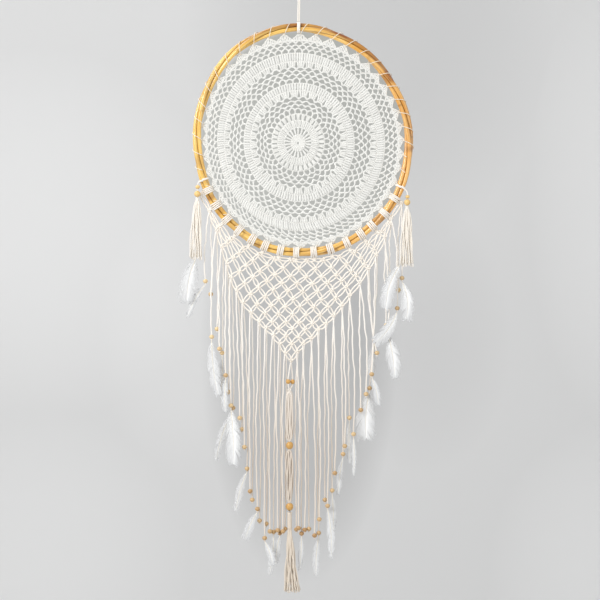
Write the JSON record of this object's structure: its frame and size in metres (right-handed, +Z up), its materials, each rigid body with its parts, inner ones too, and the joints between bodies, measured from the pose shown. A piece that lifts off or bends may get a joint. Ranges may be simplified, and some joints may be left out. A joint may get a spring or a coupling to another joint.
{
  "type": "dreamcatcher with rattan hoop",
  "caption": "Wall dreamcatcher: a crocheted doily in a twisted rattan hoop, with a knotted cord net, beaded fringe, tassels and white feathers hanging below.",
  "frame": {"origin": "top of the hanging loop, on the hoop's middle plane", "axes": "+Z up along the hanging cord, -Y out of the front that faces the room, +X to the viewer's right"},
  "size_m": [0.441, 0.0303, 1.1769],
  "materials": {
    "rattan": "varnished honey-coloured cane",
    "doily_cotton": "white crochet cotton",
    "thread": "off-white lacing thread",
    "cord_cotton": "cream twisted cotton cord",
    "wood": "light turned wood, satin",
    "wood_gold": "golden brown turned wood, satin",
    "feather": "white feather, soft vane"
  },
  "bodies": {
    "root": {"bead_left_1_back": "wood", "bead_left_1_front": "wood", "bead_left_2_front": "wood", "bead_left_4_back": "wood", "bead_left_5_back": "wood", "bead_left_6_back": "wood", "bead_right_0_back": "wood", "bead_right_0_front": "wood", "bead_right_1_front": "wood", "bead_right_3_back": "wood", "bead_right_4_back": "wood", "bead_right_5_back": "wood", "cane_a": "rattan", "cane_b": "rattan", "cane_c": "rattan", "centre_bead_left": "wood_gold", "centre_bead_low": "wood_gold", "centre_bead_middle": "wood_gold", "centre_bead_right": "wood_gold", "centre_tassel": "cord_cotton", "doily": "doily_cotton", "feather_left_10_front": "feather", "feather_left_11_back": "feather", "feather_left_12_back": "feather", "feather_left_1_front": "feather", "feather_left_2_front": "feather", "feather_left_3_back": "feather", "feather_left_4_front": "feather", "feather_left_5_back": "feather", "feather_left_5_front": "feather", "feather_left_7_back": "feather", "feather_left_9_front": "feather", "feather_right_0_front": "feather", "feather_right_10_back": "feather", "feather_right_12_back": "feather", "feather_right_1_front": "feather", "feather_right_2_front": "feather", "feather_right_3_back": "feather", "feather_right_4_back": "feather", "feather_right_4_front": "feather", "feather_right_6_back": "feather", "feather_right_6_front": "feather", "feather_right_7_back": "feather", "feather_right_8_back": "feather", "feather_right_9_front": "feather", "feather_tassel_left": "feather", "feather_tassel_right": "feather", "hanging_cord": "cord_cotton", "hanging_knot": "cord_cotton", "hanging_wrap": "cord_cotton", "lacing_left": "thread", "lacing_right": "thread", "macrame": "cord_cotton", "tassel_bead_left_large": "wood", "tassel_bead_left_small": "wood", "tassel_bead_right_large": "wood", "tassel_bead_right_small": "wood", "tassel_left": "cord_cotton", "tassel_right": "cord_cotton"}
  },
  "joints": []
}
